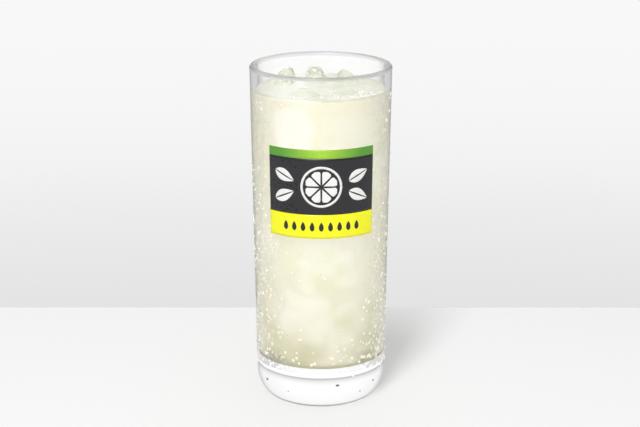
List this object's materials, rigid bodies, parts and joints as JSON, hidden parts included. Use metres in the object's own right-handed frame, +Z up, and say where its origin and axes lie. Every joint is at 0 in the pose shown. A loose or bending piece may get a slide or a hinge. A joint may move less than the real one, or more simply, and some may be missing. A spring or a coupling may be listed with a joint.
{
  "type": "glass of lemonade",
  "caption": "Tall straight-sided glass tumbler with a thick clear base, filled nearly to the rim with cloudy pale lemonade and floating ice",
  "frame": {"origin": "centre of the base's resting ring, on the surface the glass stands on", "axes": "+Z up along the glass's axis, -Y the front that carries the printed panel, +X to the right seen from the front"},
  "size_m": [0.066, 0.066, 0.16],
  "materials": {
    "clear_glass": "clear polished pressed glass, fire-polished rim",
    "lemonade": "cloudy pale yellow liquid",
    "ice": "wet ice, clear outside and cloudy inside",
    "print_green": "satin ceramic ink fired on the glass",
    "print_charcoal": "satin ceramic ink fired on the glass",
    "print_yellow": "satin ceramic ink fired on the glass",
    "print_white": "satin ceramic ink fired on the glass"
  },
  "bodies": {
    "root": {"tumbler": "clear_glass", "lemonade": "lemonade", "ice_1": "ice", "ice_2": "ice", "ice_3": "ice", "ice_4": "ice", "ice_5": "ice"}
  },
  "joints": []
}
